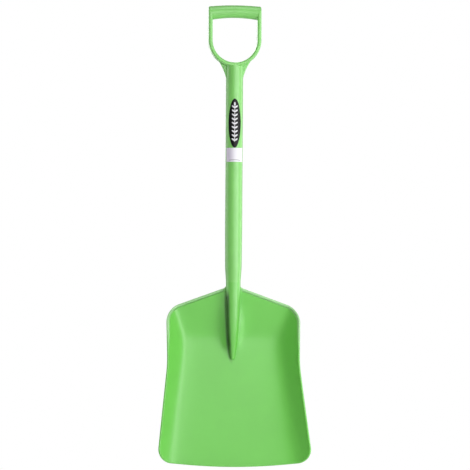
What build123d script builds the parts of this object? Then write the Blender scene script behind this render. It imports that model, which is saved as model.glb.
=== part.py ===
"""Scoop shovel with a D-shaped grip, in its parts as they come apart on a bench.

The shaft's axis is the Z axis and the open front of the scoop faces -Y. The origin is the point that hangs
on a hook, the middle of the hand bar's underside. Heights in the sizes below are measured up from the lowest
point of the mouth.
"""

import os
from math import asin, cos, radians, sin, sqrt, tan

from build123d import *

# Whole tool, millimetres
overall_length = 1020.0
running_gap = 0.1
skin = 0.3

# Hand bar and D-shaped grip
bar_diameter = 28.2
bar_end_diameter = 30.4
bar_bow_radius = 400.0
gap_width = 100.0
gap_height = 99.5
arm_width = 8.5
arm_depth_at_bar = 31.0
arm_edge_radius = 3.4
grip_length = 161.0
web_depth = 10.0
web_edge_radius = 2.0
flare_half_width = 35.5
flare_waist = 4.0
spigot_length = 60.0

# Shaft: a plastic sleeve over a metal tube
shaft_diameter = 38.2
foot_diameter = 32.4
taper_start = 524.0
taper_knee = 438.0
taper_knee_diameter = 36.8
tube_diameter = 28.0
tube_wall = 1.6
tube_foot_diameter = 20.0
swage_top = 442.0
swage_length = 26.0

# Blade outline, seen square on
blade_width = 335.0
waist_width = 0.8758 * blade_width
shoulder_width = 0.891 * blade_width
waist_height = 226.0
waist_radius = 300.0
shoulder_height = 345.0
shoulder_slope = 20.0
shoulder_radius = 42.6
mouth_corner_height = 12.4
mouth_corner_radius = 32.0

# Blade depths, front to back
blade_thickness = 4.0
lip_width = 4.4
lip_height = 1.2
rim_roundness = 0.88
top_edge_depth = 4.0
heel_height = 282.0
back_wall_lean = 10.0
floor_lean_at_heel = 13.0
floor_lean_at_mouth = 24.0
heel_radius = 80.0
wall_angle = 50.0
fold_radius_at_mouth = 36.0
fold_radius_at_heel = 18.0
fold_width_at_mouth = 0.856 * blade_width
fold_width_at_heel = 0.642 * blade_width
fold_knee_height = 256.0
fold_knee_radius = 360.0

# Socket, which runs out as a ridge down the scoop
socket_height = 405.0
ridge_top = 391.0
ridge_tip = 225.0
ridge_taper = 1.7
swell_margin = 7.0
swell_steepness = 6
groove_share = 0.62
throat_radius = 12.0
neck_inset = 2.0
tube_foot_engagement = 66.0

# Screws, all from the back
screw_head_diameter = 8.5
screw_head_height = 3.0
screw_head_round = 1.0
screw_shank_diameter = 4.0
screw_point = 1.0
screw_recess = 0.5
screw_tip_depth = 4.0
cross_width = 1.3
cross_span = 5.2
cross_depth = 1.6
grip_screw_drops = (15.0, 43.0)
blade_screw_drops = (18.0, 47.0)

# Labels on the front of the shaft
oval_width = 27.0
oval_height = 109.0
oval_centre_height = 757.8
info_width = 34.8
info_height = 31.0
label_gap = 0.2

# How finely the curved faces are laid out
grid_cells = 84
grid_margin = 8.0
surface_tolerance = 0.02
slope_step = 0.5
ridge_sections = 14
ridge_crowding = 0.8
bar_sections = 8

# Sizes that follow from the ones above
hang_height = overall_length - bar_diameter
bar_radius = bar_diameter / 2
shaft_radius = shaft_diameter / 2
foot_radius = foot_diameter / 2
tube_radius = tube_diameter / 2
tube_foot_radius = tube_foot_diameter / 2
spigot_radius = tube_radius - tube_wall - running_gap
neck_height = overall_length - grip_length
tube_foot_height = socket_height - tube_foot_engagement
right_through = 5 * shaft_diameter
wall_slope = tan(radians(wall_angle))
rim_thickness = blade_thickness * sqrt(1 + wall_slope**2) + lip_height
rim_radius = rim_roundness * rim_thickness * tan(radians(90 - wall_angle) / 2)


def level(height):
    """Z of a height above the mouth."""
    return height - hang_height


def smooth_lower(a, b, blend):
    """The lesser of two depths, its corner rounded off by the blend."""
    return (a + b) / 2 - sqrt(((a - b) / 2) ** 2 + blend**2)


def blend_for(slope_change, radius):
    """The blend that gives a corner between two slopes about this radius."""
    return (slope_change / 2) ** 2 * radius


# ---- the scoop's surfaces, as depths (Y) over half-width and height ----


def floor_depth(height):
    """Front of the floor, whose lean grows evenly from the heel down to the mouth."""
    heel_depth = top_edge_depth + tan(radians(back_wall_lean)) * (ridge_top - heel_height)
    steep, gentle = tan(radians(floor_lean_at_mouth)), tan(radians(floor_lean_at_heel))
    below = heel_height - height
    bowed = max(below, 0.0) ** 2 * (steep - gentle) / (2 * heel_height)
    return heel_depth - gentle * below - bowed


def back_wall_depth(height):
    """Front of the back wall, which leans forward as it rises."""
    return top_edge_depth + tan(radians(back_wall_lean)) * (ridge_top - height)


def fold_half(height):
    """Half the width between the folds where the side walls rise from the floor."""
    slope = (fold_width_at_mouth - fold_width_at_heel) / 2 / fold_knee_height
    tapering = fold_width_at_mouth / 2 - slope * height
    return -smooth_lower(-tapering, -fold_width_at_heel / 2, blend_for(slope, fold_knee_radius))


def fold_radius(height):
    """Radius of the folds, which grows from the heel to the mouth."""
    part = min(max(height / heel_height, 0.0), 1.0)
    return fold_radius_at_mouth + (fold_radius_at_heel - fold_radius_at_mouth) * part


def pan_depth(x, height):
    """Front of the scoop's sheet without the ridge."""
    lean_change = tan(radians(back_wall_lean)) + tan(radians(floor_lean_at_heel))
    base = smooth_lower(floor_depth(height), back_wall_depth(height), blend_for(lean_change, heel_radius))
    wall = floor_depth(height) - wall_slope * (abs(x) - fold_half(height))
    return smooth_lower(base, wall, blend_for(wall_slope, fold_radius(height)))


def ridge_radius(height):
    """Radius of the socket, and of the ridge that it tapers to."""
    part = min(max((ridge_top - height) / (ridge_top - ridge_tip), 0.0), 1.0)
    return foot_radius * sqrt(1 - part**ridge_taper)


def ridge_centre(height):
    """Depth of the ridge's axis: on the shaft's down to the tube's foot, then back into the sheet."""
    part = min(max((tube_foot_height - height) / (tube_foot_height - ridge_tip), 0.0), 1.0)
    return part**2 * (pan_depth(0, height) + blade_thickness / 2)


def swell(x, height, stand):
    """How far the sheet swells beside the ridge, in a soft fillet, where the ridge stands clear of it."""
    peak = (stand + sqrt(stand**2 + 1)) / 2
    return peak / (1 + (abs(x) / (ridge_radius(height) + swell_margin)) ** swell_steepness)


def front_depth(x, height):
    """Front of the sheet, which swells to a groove beside the ridge."""
    stand = pan_depth(0, height) - ridge_centre(height) - groove_share * ridge_radius(height)
    return pan_depth(x, height) - swell(x, height, stand)


def back_depth(x, height):
    """Back of the sheet, one thickness behind the front as measured square to it."""
    across = (pan_depth(x + slope_step, height) - pan_depth(x - slope_step, height)) / (2 * slope_step)
    along = (pan_depth(x, height + slope_step) - pan_depth(x, height - slope_step)) / (2 * slope_step)
    square = sqrt(1 + across**2 + along**2)
    behind = pan_depth(0, height) + blade_thickness
    stand = ridge_centre(height) + ridge_radius(height) / 2 - behind
    return pan_depth(x, height) + blade_thickness * square + swell(x, height, stand)


def depth_surface(depth):
    """The surface of one depth function, a little larger than the blade all round."""
    half = blade_width / 2 + grid_margin
    low, high = -grid_margin, socket_height + grid_margin
    rows = []
    for i in range(grid_cells + 1):
        height = low + (high - low) * i / grid_cells
        xs = [half * (2 * j / grid_cells - 1) for j in range(grid_cells + 1)]
        rows.append([Vector(x, depth(x, height), level(height)) for x in xs])
    return Face.make_surface_from_array_of_points(rows, tol=surface_tolerance, min_deg=3, max_deg=5)


# ---- small helpers for the pieces ----


def at_corner(shape, x, y):
    return shape.vertices().sort_by_distance((x, y, 0))[0]


def upright(sketch, depth):
    """A sketch drawn in X and Z, made this deep in Y about the shaft's axis."""
    return extrude(Plane.XZ * sketch, amount=depth / 2, both=True)


def turned(*points):
    """A solid of revolution about the shaft, from (radius, height) corners."""
    outline = Polyline(*[(radius, level(height)) for radius, height in points], close=True)
    return revolve(Plane.XZ * make_face(outline), Axis.Z)


def rod_from_back(diameter, back, front, height):
    """A round rod along Y at one height, from its back end to its front end."""
    start = Plane(origin=(0, back, level(height)), z_dir=(0, -1, 0))
    return extrude(start * Circle(diameter / 2), amount=back - front)


# ---- pieces ----


def screw_seat(surface_radius):
    """Depth at which a screw's head seats below a round surface at the back."""
    return surface_radius - screw_recess - screw_head_height


def screw(surface_radius, tip_depth, height):
    """A pan-headed screw driven in from the back, with a cross in its head."""
    seat = screw_seat(surface_radius)
    head = rod_from_back(screw_head_diameter, seat + screw_head_height, seat, height)
    rim = head.edges().group_by(Axis.Y)[-1]
    head = fillet(rim, screw_head_round)
    shank = rod_from_back(screw_shank_diameter, seat, tip_depth, height)
    shank = chamfer(shank.edges().group_by(Axis.Y)[0], screw_point)
    bar = Box(cross_span, 2 * cross_depth, cross_width)
    cross = bar + Rot(0, 90, 0) * bar
    return head + shank - Pos(0, seat + screw_head_height, level(height)) * cross


def screw_hole(surface_radius, tip_depth, height):
    """The room for one screw: a close hole for its shank and a counterbore for its head."""
    seat = screw_seat(surface_radius)
    reach = surface_radius + screw_head_diameter
    counterbore = rod_from_back(screw_head_diameter + 2 * running_gap, reach, seat, height)
    return counterbore + rod_from_back(screw_shank_diameter, seat, tip_depth, height)


def blade_outline():
    """The scoop seen square on, with the throat where it meets the shaft's foot."""
    waist = waist_width / 2
    shoulder = shoulder_width / 2
    neck_half = foot_radius - neck_inset
    side_run = waist_height - mouth_corner_height
    flare = (blade_width / 2 - waist) / (side_run - mouth_corner_radius)
    mouth = waist + side_run * flare
    throat = shoulder_height + (shoulder - neck_half) * tan(radians(shoulder_slope))
    sides = Polyline(
        (-mouth, mouth_corner_height),
        (-waist, waist_height),
        (-shoulder, shoulder_height),
        (-neck_half, throat),
        (-neck_half, socket_height),
        (neck_half, socket_height),
        (neck_half, throat),
        (shoulder, shoulder_height),
        (waist, waist_height),
        (mouth, mouth_corner_height),
    )
    mouth_edge = ThreePointArc((mouth, mouth_corner_height), (0, 0), (-mouth, mouth_corner_height))
    outline = make_face(sides + mouth_edge)
    corners = (
        (mouth, mouth_corner_height, mouth_corner_radius),
        (waist, waist_height, waist_radius),
        (shoulder, shoulder_height, shoulder_radius),
        (neck_half, throat, throat_radius),
    )
    for x, height, radius in corners:
        pair = [at_corner(outline, -x, height), at_corner(outline, x, height)]
        outline = fillet(pair, radius)
    return Pos(0, -hang_height) * outline


def rounded_rim(sheet):
    """The sheet with the front corner of its rim rounded off, right round from the mouth."""
    mouth = (0, front_depth(0, 0) - lip_height, level(0))
    return sheet.fillet(rim_radius, [sheet.edges().sort_by_distance(mouth)[0]])


def socket():
    """The round socket and the ridge below it, through circles that shrink to the tip."""
    parts = [(i / ridge_sections) ** ridge_crowding for i in range(ridge_sections)]
    heights = [ridge_top - (ridge_top - ridge_tip) * part for part in parts]
    circles = []
    for height in heights:
        plane = Plane(origin=(0, ridge_centre(height), level(height)), z_dir=(0, 0, 1))
        circles.append(plane * Circle(ridge_radius(height)))
    collar = Pos(0, 0, level(ridge_top)) * Cylinder(
        foot_radius, socket_height - ridge_top, align=(Align.CENTER, Align.CENTER, Align.MIN)
    )
    return loft(circles) + collar


def sheet():
    """The scoop's sheet, a little thicker in a lip along its edge."""
    outline = blade_outline()
    behind_front = Solid.extrude(depth_surface(front_depth), Vector(0, blade_width, 0))
    before_back = Solid.extrude(depth_surface(back_depth), Vector(0, -blade_width, 0))
    thick = upright(outline, 2 * blade_width) & Pos(0, -lip_height, 0) * behind_front & before_back
    pocket = upright(offset(outline, amount=-lip_width), 2 * blade_width) - behind_front
    return rounded_rim(thick - pocket)


def blade():
    """The scoop and its socket, bored for the tube's foot."""
    body = sheet() + socket()
    bore = Pos(0, 0, level(tube_foot_height)) * Cylinder(
        tube_foot_radius, tube_foot_engagement, align=(Align.CENTER, Align.CENTER, Align.MIN)
    )
    body -= bore
    for drop in blade_screw_drops:
        body -= blade_screw_hole(drop)
    return body


def blade_screw_hole(drop):
    height = socket_height - drop
    return screw_hole(ridge_radius(height), screw_tip_depth, height)


def blade_screw(drop):
    height = socket_height - drop
    return screw(ridge_radius(height), screw_tip_depth, height)


def grip_screw_hole(drop):
    return screw_hole(shaft_radius, screw_tip_depth, neck_height - drop)


def grip_screw(drop):
    return screw(shaft_radius, screw_tip_depth, neck_height - drop)


def core_tube():
    inner = tube_radius - tube_wall
    foot_inner = tube_foot_radius - tube_wall
    swage_foot = swage_top - swage_length
    body = turned(
        (inner, neck_height),
        (tube_radius, neck_height),
        (tube_radius, swage_top),
        (tube_foot_radius, swage_foot),
        (tube_foot_radius, tube_foot_height),
        (foot_inner, tube_foot_height),
        (foot_inner, swage_foot),
        (inner, swage_top),
    )
    return drilled(body)


def shaft_sleeve():
    swage_foot = swage_top - swage_length
    body = turned(
        (tube_radius, neck_height),
        (shaft_radius, neck_height),
        (shaft_radius, taper_start),
        (taper_knee_diameter / 2, taper_knee),
        (foot_radius, socket_height),
        (tube_foot_radius, socket_height),
        (tube_foot_radius, swage_foot),
        (tube_radius, swage_top),
    )
    return drilled(body)


def drilled(body):
    """A piece of the shaft with the holes of every screw that reaches it."""
    for drop in grip_screw_drops:
        body -= grip_screw_hole(drop)
    for drop in blade_screw_drops:
        body -= blade_screw_hole(drop)
    return body


def hand_gap():
    """The opening that the hand goes through, open at the top where the bar closes it."""
    half = gap_width / 2
    floor = hang_height - gap_height
    centre = floor + half
    bow = Pos(0, level(centre)) * Circle(half)
    sides = Pos(0, level(centre)) * Rectangle(gap_width, gap_height, align=(Align.CENTER, Align.MIN))
    return upright(bow + sides, right_through)


def bar_axis_drop(x):
    """How much lower the hand bar's axis is at this distance from the middle."""
    return bar_bow_radius - sqrt(bar_bow_radius**2 - x**2)


def hand_bar():
    """The bowed hand bar, a little thicker towards its ends."""
    half = gap_width / 2 + arm_width / 2
    sections = []
    for i in range(bar_sections + 1):
        x = half * (2 * i / bar_sections - 1)
        turn = asin(x / bar_bow_radius)
        axis = Plane(origin=(x, 0, bar_radius - bar_axis_drop(x)), z_dir=(cos(turn), 0, -sin(turn)))
        growth = (bar_end_diameter - bar_diameter) / 2 * (x / half) ** 2
        sections.append(axis * Circle(bar_radius + growth))
    return loft(sections)


def arms():
    """The two arms and the loop that joins them below the hand gap, deeper towards the shaft."""
    half = gap_width / 2 + arm_width
    centre = hang_height - gap_height + gap_width / 2
    end_height = bar_radius - bar_axis_drop(gap_width / 2 + arm_width / 2)
    top = end_height + arm_depth_at_bar / 2
    low = level(centre) - half
    bow = Pos(0, level(centre)) * Circle(half)
    sides = Pos(0, level(centre)) * Rectangle(2 * half, top - level(centre), align=(Align.CENTER, Align.MIN))
    straps = upright(bow + sides, right_through) - hand_gap()
    foot = Line((-shaft_radius, low), (shaft_radius, low))
    head = Pos(0, end_height) * Circle(arm_depth_at_bar / 2)
    side_view = make_hull(foot.edges() + head.edges())
    straps &= extrude(Plane.YZ * side_view, amount=2 * half, both=True)
    rims = straps.edges().filter_by(Axis.X, reverse=True).filter_by(Axis.Y, reverse=True)
    return fillet(rims, arm_edge_radius)


def neck():
    """The round neck under the loop, with a thinner web on each side that flares out to the arms."""
    top = level(hang_height - gap_height + arm_width)
    base = level(neck_height)
    centre = hang_height - gap_height + gap_width / 2
    strap = gap_width / 2 + arm_width
    flare_top = level(centre - sqrt(strap**2 - flare_half_width**2))
    middle = ((shaft_radius + flare_half_width) / 2 - flare_waist / 2, (base + flare_top) / 2)
    right = ThreePointArc((flare_half_width, flare_top), middle, (shaft_radius, base))
    left = mirror(right, Plane.YZ)
    foot = Line((-shaft_radius, base), (shaft_radius, base))
    head = Line((-flare_half_width, flare_top), (flare_half_width, flare_top))
    web = upright(make_face(right + left + foot + head), web_depth)
    flares = web.edges().filter_by(GeomType.CIRCLE)
    web = fillet(flares, web_edge_radius)
    round_neck = Pos(0, 0, base) * Cylinder(
        shaft_radius, top - base - arm_width / 2, align=(Align.CENTER, Align.CENTER, Align.MIN)
    )
    return web + round_neck


def d_grip():
    spigot = Pos(0, 0, level(neck_height)) * Cylinder(
        spigot_radius, spigot_length, align=(Align.CENTER, Align.CENTER, Align.MAX)
    )
    spigot = chamfer(spigot.edges().group_by(Axis.Z)[0], tube_wall)
    body = arms() + neck() - hand_gap()
    body += hand_bar()
    body += spigot
    for drop in grip_screw_drops:
        body -= grip_screw_hole(drop)
    return body


def on_shaft(sketch):
    """A thin skin on the front of the shaft, cut to a shape drawn in X and Z."""
    tall = overall_length
    ring = Cylinder(shaft_radius + skin, tall) - Cylinder(shaft_radius, tall)
    front = extrude(Plane.XZ * sketch, amount=shaft_diameter)
    return Pos(0, 0, level(oval_centre_height)) * ring & front


def oval_label():
    return on_shaft(Pos(0, level(oval_centre_height)) * Ellipse(oval_width / 2, oval_height / 2))


def info_label():
    top = oval_centre_height - oval_height / 2 - label_gap
    return on_shaft(
        Pos(0, level(top)) * Rectangle(info_width, info_height, align=(Align.CENTER, Align.MAX))
    )


pieces = {
    "blade": blade,
    "shaft_sleeve": shaft_sleeve,
    "core_tube": core_tube,
    "d_grip": d_grip,
    "oval_label": oval_label,
    "info_label": info_label,
    "grip_screw_upper": lambda: grip_screw(grip_screw_drops[0]),
    "grip_screw_lower": lambda: grip_screw(grip_screw_drops[1]),
    "blade_screw_upper": lambda: blade_screw(blade_screw_drops[0]),
    "blade_screw_lower": lambda: blade_screw(blade_screw_drops[1]),
}

os.makedirs("parts", exist_ok=True)
for name, make in pieces.items():
    export_step(make(), f"parts/{name}.step")
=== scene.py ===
"""Looks of the scoop shovel: its plastic, labels and screws, and the studio that it stands in.

Run as a script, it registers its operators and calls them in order.
"""

import math

import bpy
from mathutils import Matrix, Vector


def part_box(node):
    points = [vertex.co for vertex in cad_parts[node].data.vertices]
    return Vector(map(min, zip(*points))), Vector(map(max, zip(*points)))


bl_info = {
    "name": "Scoop Shovel Studio",
    "version": (1, 0, 0),
    "blender": (4, 5, 0),
    "location": "View3D > Sidebar > Shovel",
    "description": "Finishes the pieces of a scoop shovel with a D-shaped grip and lights them",
    "category": "Object",
}

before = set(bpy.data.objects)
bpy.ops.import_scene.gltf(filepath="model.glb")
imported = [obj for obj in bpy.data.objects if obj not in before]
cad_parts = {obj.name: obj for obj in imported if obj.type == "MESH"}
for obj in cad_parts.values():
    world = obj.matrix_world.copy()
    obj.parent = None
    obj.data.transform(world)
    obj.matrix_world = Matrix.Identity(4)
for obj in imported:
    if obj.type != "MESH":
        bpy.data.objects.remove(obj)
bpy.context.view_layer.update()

LOW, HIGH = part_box("blade")[0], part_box("d_grip")[1]
MOUTH = LOW.z
MIDDLE = (LOW.z + HIGH.z) / 2
MM_PER_M = 1000.0

# The scoop's shape in millimetres, its heights measured up from the mouth
TOP_SLOPE = math.radians(20.0)
CORNER_RADIUS = 42.6
CORNER_ACROSS = 106.65
CORNER_HEIGHT = 315.2
SOCKET_RADIUS = 16.2
SOCKET_EDGE = 17.5
SOCKET_FOOT = 330.0
# Height where the rolled lip's bump and its painted highlight begin
RIM_FOOT = 300.0
RIDGE_TOP = 391.0
RIDGE_LENGTH = 166.0
RIDGE_TAPER = 1.7
# Heights between which the grooves beside the ridge get their painted shade
GROOVE_FOOT = 266.0
GROOVE_TOP = 372.0

# The studio, in metres, with the camera's sensor in millimetres
FLOOR_DROP = 0.25
FLOOR_RADIUS = 2.4
DOME_RADIUS = 20.0
CAMERA_REACH = 60.0
SENSOR = 36.0
WORLD_STRENGTH = 0.25


# ---- shader maths ----


class Flow:
    """A socket of a finish. Arithmetic on values adds the Math node that it needs."""

    def __init__(self, finish, socket):
        self.finish = finish
        self.socket = socket

    def combined(self, operation, first, second):
        """The result of one Math node."""
        settings = {"operation": operation}
        return self.finish.add("ShaderNodeMath", settings, {0: first, 1: second})["Value"]

    def __add__(self, other):
        return self.combined("ADD", self, other)

    def __radd__(self, other):
        return self.combined("ADD", other, self)

    def __sub__(self, other):
        return self.combined("SUBTRACT", self, other)

    def __rsub__(self, other):
        return self.combined("SUBTRACT", other, self)

    def __mul__(self, other):
        return self.combined("MULTIPLY", self, other)

    def __rmul__(self, other):
        return self.combined("MULTIPLY", other, self)

    def __truediv__(self, other):
        return self.combined("DIVIDE", self, other)

    def __rtruediv__(self, other):
        return self.combined("DIVIDE", other, self)

    def __mod__(self, other):
        return self.combined("FLOORED_MODULO", self, other)

    def __pow__(self, other):
        return self.combined("POWER", self, other)

    def __abs__(self):
        return self.combined("ABSOLUTE", self, 0.0)

    def __or__(self, other):
        """The greater of two values, which joins two masks."""
        return self.combined("MAXIMUM", self, other)

    def __and__(self, other):
        """The lesser of two values, which keeps what two masks share."""
        return self.combined("MINIMUM", self, other)


class Finish:
    """A new material whose nodes are all added by one method."""

    def __init__(self, name):
        self.material = bpy.data.materials.new(name)
        self.material.use_nodes = True
        self.tree = self.material.node_tree
        self.tree.nodes.clear()

    def add(self, kind, settings=None, inputs=None):
        """Adds a node, gives it its settings and then its inputs, and returns its outputs by name."""
        node = self.tree.nodes.new(kind)
        for name, value in (settings or {}).items():
            setattr(node, name, value)
        for key, value in (inputs or {}).items():
            if isinstance(value, Flow):
                self.tree.links.new(value.socket, node.inputs[key])
            else:
                node.inputs[key].default_value = value
        return {output.name: Flow(self, output) for output in node.outputs if output.enabled}

    def noise(self, scale, detail=3.0):
        """A value from 0 to 1 that wanders over the piece."""
        place = self.add("ShaderNodeTexCoord")["Object"]
        made = self.add("ShaderNodeTexNoise", None, {"Vector": place, "Scale": scale, "Detail": detail})
        return made.get("Fac") or made["Factor"]

    def across_and_up(self, middle):
        """Millimetres to the right of the shaft's axis, and above a height on it."""
        place = self.add("ShaderNodeTexCoord")["Object"]
        parts = self.add("ShaderNodeSeparateXYZ", None, {"Vector": place})
        return parts["X"] * MM_PER_M, (parts["Z"] - middle) * MM_PER_M

    def inside(self, distance, edge, softness):
        """1 where the distance is less than the edge, fading to 0 over the softness."""
        limits = {"From Min": edge, "From Max": edge + softness, "To Min": 1.0, "To Max": 0.0}
        return self.add("ShaderNodeMapRange", None, {"Value": distance, **limits})["Result"]

    def above(self, height, edge, softness):
        """1 where the height is more than the edge, fading to 0 over the softness below it."""
        limits = {"From Min": edge - softness, "From Max": edge, "To Min": 0.0, "To Max": 1.0}
        return self.add("ShaderNodeMapRange", None, {"Value": height, **limits})["Result"]

    def mixed(self, factor, first, second):
        """One colour turning into another."""
        mix = self.tree.nodes.new("ShaderNodeMix")
        mix.data_type = "RGBA"
        for socket, value in ((mix.inputs[0], factor), (mix.inputs[6], first), (mix.inputs[7], second)):
            if isinstance(value, Flow):
                self.tree.links.new(value.socket, socket)
            else:
                socket.default_value = value
        return Flow(self, mix.outputs[2])

    def bump(self, height, strength, distance):
        """A normal tilted by a height, which is in units of the distance in metres."""
        inputs = {"Height": height, "Strength": strength, "Distance": distance}
        return self.add("ShaderNodeBump", None, inputs)["Normal"]

    def finish(self, **sockets):
        """The shader itself, with its sockets named as on the node but with _ for a space."""
        inputs = {name.replace("_", " "): value for name, value in sockets.items()}
        shader = self.add("ShaderNodeBsdfPrincipled", None, inputs)["BSDF"]
        self.add("ShaderNodeOutputMaterial", None, {"Surface": shader})
        return self.material


def tinted(colour, share, white=0.0):
    """A share of a colour, with some white added."""
    return [min(1.0, value * share + white) for value in colour[:3]] + [1.0]


def inwards_of(across, up):
    """Millimetres in from the scoop's edge, along its sloping top edges and round its upper corners."""
    lean, rise = math.sin(TOP_SLOPE), math.cos(TOP_SLOPE)
    beside, above = abs(across) - CORNER_ACROSS, up - CORNER_HEIGHT
    outwards = beside | 0.0
    upwards = (beside * lean + above * rise) | 0.0
    side_part = outwards | upwards * lean
    slope_part = upwards | outwards * lean
    square = side_part**2.0 + slope_part**2.0 - side_part * slope_part * (2.0 * lean)
    return CORNER_RADIUS - square**0.5 / rise


def painted_groove_shade(finish, across, up):
    """Mask of painted shade in the narrow groove on each side of the ridge, on the front only and much
    darker on the left, where the ridge would shade it from the light on the right.
    """
    tapered = ((RIDGE_TOP - up) / RIDGE_LENGTH | 0.0) & 1.0
    flank = (1.0 - tapered**RIDGE_TAPER) ** 0.5 * (SOCKET_RADIUS * 0.86)
    line = finish.inside(abs(abs(across) - flank), 1.4, 4.6)
    standing = finish.inside(up, GROOVE_TOP, 16.0) & finish.above(up, GROOVE_FOOT, 44.0)
    normal = finish.add("ShaderNodeNewGeometry")["Normal"]
    facing = finish.add("ShaderNodeSeparateXYZ", None, {"Vector": normal})["Y"]
    front = finish.inside(facing, 0.1, 0.2)
    left = finish.inside(across, -1.0, 2.0)
    return line * standing * front * (0.04 + left * 0.90)


def plastic(name, colour, grain_scale):
    """Colour, relief and gloss of moulded plastic: faint cloudy flow and a fine spark-eroded grain."""
    finish = Finish(name)
    cloud = finish.noise(9.0, 2.0)
    flow = finish.noise(38.0, 4.0)
    deep, pale = tinted(colour, 0.93), tinted(colour, 1.09, 0.006)
    base = finish.mixed(cloud * 0.7 + flow * 0.3, deep, pale)
    grain = finish.noise(grain_scale, 2.0)
    relief = (grain + flow * 0.6) * 0.007
    gloss = 0.34 + flow * 0.06 + grain * 0.05
    return finish, base, relief, gloss


def coated(finish, base, relief, gloss, coat):
    """The plastic's shader, with its relief in millimetres."""
    return finish.finish(
        Base_Color=base,
        Roughness=gloss,
        Normal=finish.bump(relief, 1.0, 0.001),
        Specular_IOR_Level=0.8,
        Coat_Weight=coat,
        Coat_Roughness=0.5,
    )


def scoop_plastic(name, colour, grain_scale, coat):
    """The scoop's plastic, with its rolled lip as a bump and a painted highlight, painted shade in the
    grooves beside the ridge, and a glossier socket.
    """
    finish, base, relief, gloss = plastic(name, colour, grain_scale)
    across, up = finish.across_and_up(MOUTH)
    upper = finish.above(up, RIM_FOOT, 50.0)
    beside_socket = 1.0 - finish.inside(abs(across), SOCKET_EDGE, 5.0)
    roll = finish.inside(inwards_of(across, up), 4.5, 3.5) * upper * beside_socket
    # Painted highlight: the rolled lip along the top edges made paler where light from above would fall
    # on it; the same mask also tilts the bump
    base = finish.mixed(roll * 0.55, base, tinted(colour, 0.62, 0.38))
    # Painted shade: the grooves beside the ridge darkened nearly to black, mostly on the left side
    base = finish.mixed(painted_groove_shade(finish, across, up), base, tinted(colour, 0.05))
    socket = finish.inside(abs(across), SOCKET_EDGE, 8.0) * finish.above(up, SOCKET_FOOT, 60.0)
    return coated(finish, base, relief - roll * 3.2, gloss, coat + socket * (1.0 - coat))


def sprig(finish, middle, sizes):
    """Mask of a leafy sprig that stands upright about a height on the shaft."""
    across, up = finish.across_and_up(middle)
    height = sizes.sprig_height * MM_PER_M
    half_height, pitch = height / 2, height / sizes.leaf_pairs
    half_length, half_width = (size * MM_PER_M / 2 for size in (sizes.leaf_length, sizes.leaf_width))
    lean = math.radians(38.0)
    aside = abs(across) - 3.3
    along = (up + half_height) % pitch - pitch / 2
    length = (aside * math.cos(lean) + along * math.sin(lean)) / half_length
    width = (along * math.cos(lean) - aside * math.sin(lean)) / half_width
    leaves = finish.inside(length**2.0 + width**2.0, 0.85, 0.3)
    stem = finish.inside(abs(across), 0.55, 0.2)
    standing = finish.inside(abs(up), half_height, 0.3)
    bud_width, bud_height = across / 1.9, (up - half_height - 1.5) / 4.2
    bud = finish.inside(bud_width**2.0 + bud_height**2.0, 0.85, 0.3)
    return ((leaves | stem) & standing) | bud


def oval_film(name, ground, ink, middle, sizes):
    """Glossy dark film with a pale sprig printed on it."""
    finish = Finish(name)
    peel = finish.noise(420.0, 2.0)
    worn = finish.noise(60.0, 3.0)
    print_mask = sprig(finish, middle, sizes) * (0.9 + worn * 0.1)
    base = finish.mixed(print_mask, ground, ink)
    gloss = 0.24 + worn * 0.08 + print_mask * 0.12
    normal = finish.bump(peel, 0.08, 0.0001)
    return finish.finish(Base_Color=base, Roughness=gloss, Normal=normal, Specular_IOR_Level=0.2)


def small_film(name, ground, line, foot):
    """Pale film with painted shade darkening it towards one side, and one thin arched line above its
    foot.
    """
    finish = Finish(name)
    peel = finish.noise(420.0, 2.0)
    worn = finish.noise(60.0, 3.0)
    across, up = finish.across_and_up(foot)
    # Painted shade: the label made darker and lilac-grey towards its left, away from the light on the
    # right, with a little random wear mixed in
    painted_shade_share = finish.inside(across + worn * 6.0, -9.0, 12.0)
    shaded_ground = [ground[0] * 0.84, ground[1] * 0.76, ground[2] * 0.90, 1.0]
    paper = finish.mixed(painted_shade_share * 0.8 + worn * 0.1, ground, shaded_ground)
    arch = 4.6 - (across / 12.0) ** 2.0 * 1.1
    ruled = finish.inside(abs(up - arch), 0.45, 0.3) & finish.inside(abs(across), 11.5, 1.0)
    base = finish.mixed(ruled * 0.8, paper, line)
    normal = finish.bump(peel, 0.08, 0.0001)
    return finish.finish(Base_Color=base, Roughness=0.34 + worn * 0.08, Normal=normal)


def metal(name, colour, roughness):
    """Plated metal with fine turning marks."""
    finish = Finish(name)
    marks = finish.noise(900.0, 3.0)
    stain = finish.noise(120.0, 2.0)
    base = finish.mixed(stain, tinted(colour, 0.82), colour)
    gloss = roughness + marks * 0.12
    normal = finish.bump(marks, 0.15, 0.0001)
    return finish.finish(Base_Color=base, Metallic=1.0, Roughness=gloss, Normal=normal)


def dress(piece, material):
    """Gives a piece one material in place of what it had."""
    piece.data.materials.clear()
    piece.data.materials.append(material)


# ---- what a user would change ----


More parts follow.
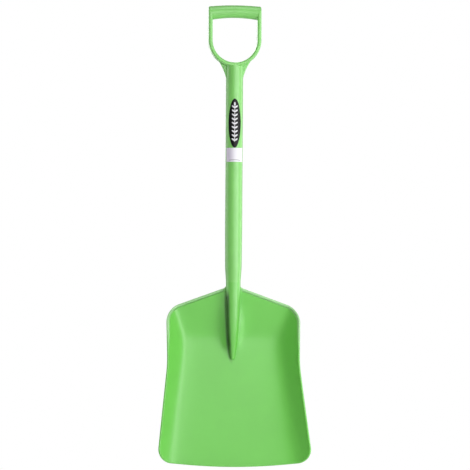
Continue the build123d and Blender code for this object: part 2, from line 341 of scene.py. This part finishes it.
class ShovelColours(bpy.types.PropertyGroup):
    green: bpy.props.FloatVectorProperty(
        name="Scoop",
        description="Colour of the scoop's plastic",
        subtype="COLOR",
        size=4,
        min=0.0,
        max=1.0,
        default=(0.14, 0.555, 0.065, 1.0),
    )
    # Painted sheen: a paler copy of the scoop's green, standing in for the whiter reflection on the
    # glossier shaft and grip
    upper_green_with_painted_sheen: bpy.props.FloatVectorProperty(
        name="Shaft and grip",
        description="Colour of the shaft's and the grip's plastic, a little milkier than the scoop's",
        subtype="COLOR",
        size=4,
        min=0.0,
        max=1.0,
        default=(0.175, 0.575, 0.096, 1.0),
    )
    black: bpy.props.FloatVectorProperty(
        name="Oval label",
        description="Colour of the oval label's ground",
        subtype="COLOR",
        size=4,
        min=0.0,
        max=1.0,
        default=(0.006, 0.006, 0.007, 1.0),
    )
    white: bpy.props.FloatVectorProperty(
        name="Small label",
        description="Colour of the small label and of the oval label's artwork",
        subtype="COLOR",
        size=4,
        min=0.0,
        max=1.0,
        default=(0.80, 0.79, 0.83, 1.0),
    )
    grey: bpy.props.FloatVectorProperty(
        name="Small label's line",
        description="Colour of the arched line on the small label",
        subtype="COLOR",
        size=4,
        min=0.0,
        max=1.0,
        default=(0.16, 0.16, 0.17, 1.0),
    )
    steel: bpy.props.FloatVectorProperty(
        name="Core tube",
        description="Colour of the tube inside the shaft",
        subtype="COLOR",
        size=4,
        min=0.0,
        max=1.0,
        default=(0.7, 0.71, 0.73, 1.0),
    )
    zinc: bpy.props.FloatVectorProperty(
        name="Screws",
        description="Colour of the screws' plating",
        subtype="COLOR",
        size=4,
        min=0.0,
        max=1.0,
        default=(0.55, 0.56, 0.58, 1.0),
    )


class LabelSizes(bpy.types.PropertyGroup):
    sprig_height: bpy.props.FloatProperty(
        name="Sprig height",
        description="Height of the sprig on the oval label",
        subtype="DISTANCE",
        min=0.01,
        default=0.082,
    )
    leaf_pairs: bpy.props.IntProperty(
        name="Leaf pairs",
        description="How many pairs of leaves the sprig has",
        min=1,
        default=9,
    )
    leaf_length: bpy.props.FloatProperty(
        name="Leaf length",
        description="Length of one of the sprig's leaves",
        subtype="DISTANCE",
        min=0.001,
        default=0.0078,
    )
    leaf_width: bpy.props.FloatProperty(
        name="Leaf width",
        description="Width of one of the sprig's leaves",
        subtype="DISTANCE",
        min=0.0005,
        default=0.0034,
    )


class StudioSettings(bpy.types.PropertyGroup):
    distance: bpy.props.FloatProperty(
        name="Camera distance",
        description="From the camera to the shaft's axis",
        subtype="DISTANCE",
        default=7.0,
    )
    span: bpy.props.FloatProperty(
        name="Framed height",
        description="Height that the camera takes in at the shaft's axis",
        subtype="DISTANCE",
        default=1.0437,
    )
    aside: bpy.props.FloatProperty(
        name="Camera aside",
        description="How far to the right of the shaft's axis the camera looks",
        subtype="DISTANCE",
        default=0.0033,
    )
    swing: bpy.props.FloatProperty(
        name="Camera swing",
        description="How far round to its left the tool is seen from",
        subtype="ANGLE",
        default=math.radians(3.7),
    )
    roll: bpy.props.FloatProperty(
        name="Camera roll",
        description="How far the tool leans in the camera's view",
        subtype="ANGLE",
        default=math.radians(0.35),
    )


class SHOVEL_OT_mouldings(bpy.types.Operator):
    """Gives the green mouldings their plastic"""

    bl_idname = "shovel.mouldings"
    bl_label = "Finish the mouldings"

    def execute(self, context):
        colour = context.scene.shovel_colours.green
        dress(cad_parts["blade"], scoop_plastic("blade_plastic", colour, 700.0, 0.15))
        # Shaft and grip take the paler green, with its painted sheen
        upper = context.scene.shovel_colours.upper_green_with_painted_sheen
        for node in ("shaft_sleeve", "d_grip"):
            dress(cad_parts[node], coated(*plastic(node + "_plastic", upper, 800.0), 1.0))
        return {"FINISHED"}


class SHOVEL_OT_labels(bpy.types.Operator):
    """Gives the labels their printed film"""

    bl_idname = "shovel.labels"
    bl_label = "Finish the labels"

    def execute(self, context):
        colours = context.scene.shovel_colours
        low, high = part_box("oval_label")
        sizes = context.scene.label_sizes
        printed = oval_film("oval_film", colours.black, colours.white, (low.z + high.z) / 2, sizes)
        dress(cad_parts["oval_label"], printed)
        ruled = small_film("info_film", colours.white, colours.grey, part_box("info_label")[0].z)
        dress(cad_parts["info_label"], ruled)
        return {"FINISHED"}


class SHOVEL_OT_hardware(bpy.types.Operator):
    """Gives the screws and the core tube their metal"""

    bl_idname = "shovel.hardware"
    bl_label = "Finish the hardware"

    def execute(self, context):
        zinc = metal("screw_zinc", context.scene.shovel_colours.zinc, 0.28)
        tube = metal("tube_metal", context.scene.shovel_colours.steel, 0.35)
        for name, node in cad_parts.items():
            if "screw" in name:
                dress(node, zinc)
        dress(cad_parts["core_tube"], tube)
        return {"FINISHED"}


# Softboxes: degrees round to the right from the front, degrees up, metres away, size in metres, radiance
LIGHTS = {
    "front_light": (14.0, 12.0, 2.4, (1.3, 1.5), 2.9),
    "key_light": (50.0, 5.0, 2.2, (1.0, 2.2), 4.2),
    "rim_light": (110.0, 5.0, 2.2, (0.8, 2.2), 3.2),
    "left_light": (-108.0, 5.0, 2.2, (0.8, 2.2), 2.2),
    "top_light": (10.0, 75.0, 2.4, (1.2, 1.2), 2.6),
    "back_light": (195.0, 20.0, 2.6, (1.6, 1.8), 2.0),
}


def area_light(name, azimuth, elevation, distance, size, radiance):
    """A softbox aimed at the middle of the tool."""
    round_to_right, up = math.radians(azimuth), math.radians(elevation)
    level = distance * math.cos(up)
    right, forward = math.sin(round_to_right) * level, -math.cos(round_to_right) * level
    away = Vector((right, forward, math.sin(up) * distance))
    bpy.ops.object.light_add(type="AREA", location=Vector((0.0, 0.0, MIDDLE)) + away)
    light = bpy.context.active_object
    light.name = name
    light.data.shape = "RECTANGLE"
    light.data.size, light.data.size_y = size
    light.data.energy = radiance * math.pi * size[0] * size[1]
    light.rotation_euler = (-away).to_track_quat("-Z", "Y").to_euler()


def add_floor():
    """A round of pale paper below the tool."""
    paper = Finish("studio_paper")
    tone = paper.noise(1.5, 2.0)
    white = paper.mixed(tone, (0.88, 0.88, 0.88, 1.0), (0.91, 0.91, 0.91, 1.0))
    bpy.ops.object.select_all(action="DESELECT")
    place = (0.0, 0.0, MOUTH - FLOOR_DROP)
    bpy.ops.mesh.primitive_circle_add(
        vertices=96, radius=FLOOR_RADIUS, fill_type="NGON", location=place
    )
    floor = bpy.context.active_object
    floor.name = "studio_floor"
    dress(floor, paper.finish(Base_Color=white, Roughness=0.9))


def add_dome():
    """A white dome that only the camera sees."""
    glow = Finish("studio_glow")
    light = glow.add("ShaderNodeEmission", None, {"Color": (1.0, 1.0, 1.0, 1.0), "Strength": 1.0})
    glow.add("ShaderNodeOutputMaterial", None, {"Surface": light["Emission"]})
    bpy.ops.mesh.primitive_uv_sphere_add(
        segments=64, ring_count=32, radius=DOME_RADIUS, location=(0.0, 0.0, MIDDLE)
    )
    dome = bpy.context.active_object
    dome.name = "studio_dome"
    dome.visible_diffuse = False
    dome.visible_glossy = False
    dome.visible_shadow = False
    dress(dome, glow.material)


def add_world(scene):
    """An even, dim light from all round."""
    world = bpy.data.worlds.new("studio_world")
    scene.world = world
    world.use_nodes = True
    background = world.node_tree.nodes["Background"]
    background.inputs["Color"].default_value = (1.0, 1.0, 1.0, 1.0)
    background.inputs["Strength"].default_value = WORLD_STRENGTH


def add_camera(scene):
    """A camera far enough away that the tool is seen nearly square on."""
    settings = scene.studio_settings
    swing, distance, aside = settings.swing, settings.distance, settings.aside
    place = Vector((aside - math.sin(swing) * distance, -math.cos(swing) * distance, MIDDLE))
    bpy.ops.object.camera_add(location=place)
    camera = bpy.context.active_object
    camera.name = "studio_camera"
    camera.data.sensor_width = SENSOR
    camera.data.lens = SENSOR * distance / settings.span
    camera.data.clip_end = CAMERA_REACH
    aim = (Vector((aside, 0.0, MIDDLE)) - place).to_track_quat("-Z", "Y")
    camera.rotation_euler = aim.to_euler()
    camera.rotation_euler.rotate_axis("Z", settings.roll)
    scene.camera = camera


class SHOVEL_OT_studio(bpy.types.Operator):
    """Adds the floor, the backdrop, the lights and the camera"""

    bl_idname = "shovel.studio"
    bl_label = "Set up the studio"

    def execute(self, context):
        context.scene.view_settings.view_transform = "Standard"
        add_floor()
        add_dome()
        add_world(context.scene)
        for name, settings in LIGHTS.items():
            area_light(name, *settings)
        add_camera(context.scene)
        return {"FINISHED"}


class SHOVEL_PT_panel(bpy.types.Panel):
    """Lists the shovel's operators, colours and sizes"""

    bl_idname = "SHOVEL_PT_panel"
    bl_label = "Scoop shovel"
    bl_space_type = "VIEW_3D"
    bl_region_type = "UI"
    bl_category = "Shovel"

    def draw(self, context):
        for operator in OPERATORS:
            self.layout.operator(operator.bl_idname)
        scene = context.scene
        for group in (scene.shovel_colours, scene.label_sizes, scene.studio_settings):
            for name in type(group).__annotations__:
                self.layout.prop(group, name)


OPERATORS = (
    SHOVEL_OT_studio,
    SHOVEL_OT_mouldings,
    SHOVEL_OT_labels,
    SHOVEL_OT_hardware,
)
CLASSES = (ShovelColours, LabelSizes, StudioSettings, *OPERATORS, SHOVEL_PT_panel)


def register():
    for cls in CLASSES:
        bpy.utils.register_class(cls)
    bpy.types.Scene.shovel_colours = bpy.props.PointerProperty(type=ShovelColours)
    bpy.types.Scene.label_sizes = bpy.props.PointerProperty(type=LabelSizes)
    bpy.types.Scene.studio_settings = bpy.props.PointerProperty(type=StudioSettings)


def unregister():
    del bpy.types.Scene.studio_settings
    del bpy.types.Scene.label_sizes
    del bpy.types.Scene.shovel_colours
    for cls in reversed(CLASSES):
        bpy.utils.unregister_class(cls)


def main():
    register()
    bpy.ops.shovel.studio()
    bpy.ops.shovel.mouldings()
    bpy.ops.shovel.labels()
    bpy.ops.shovel.hardware()


if __name__ == "__main__":
    main()
